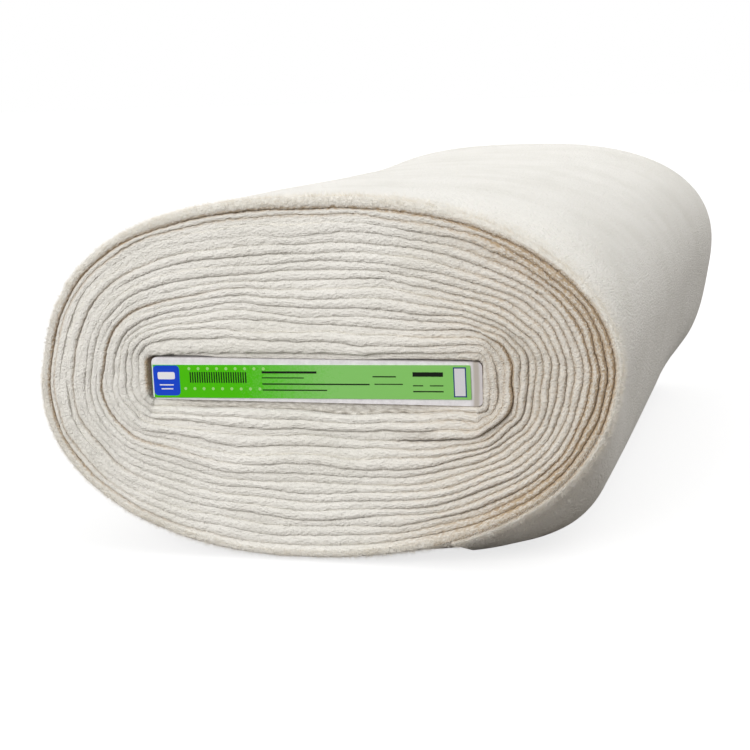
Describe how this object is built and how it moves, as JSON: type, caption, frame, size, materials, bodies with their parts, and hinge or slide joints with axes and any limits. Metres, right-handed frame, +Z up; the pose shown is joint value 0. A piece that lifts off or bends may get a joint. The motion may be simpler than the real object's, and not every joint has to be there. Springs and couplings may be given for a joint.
{
  "type": "roll of cotton batting",
  "caption": "Roll of natural cotton quilting batting, folded double and wound on a flat cardboard bolt board with a printed end label.",
  "frame": {"origin": "middle of the bounding box on the surface that the roll rests on", "axes": "+Y along the roll, away from the labelled end; +Z up out of the flat spot that it rests on; +X to the right as seen facing the labelled end"},
  "size_m": [0.357, 0.578, 0.217],
  "materials": {
    "batting": "soft needle-felted cotton, natural unbleached, matt",
    "board": "white-lined folded cardboard, matt",
    "label": "printed paper, satin"
  },
  "bodies": {
    "root": {"batting_roll": "batting", "bolt_board": "board", "board_label": "label"}
  },
  "joints": []
}
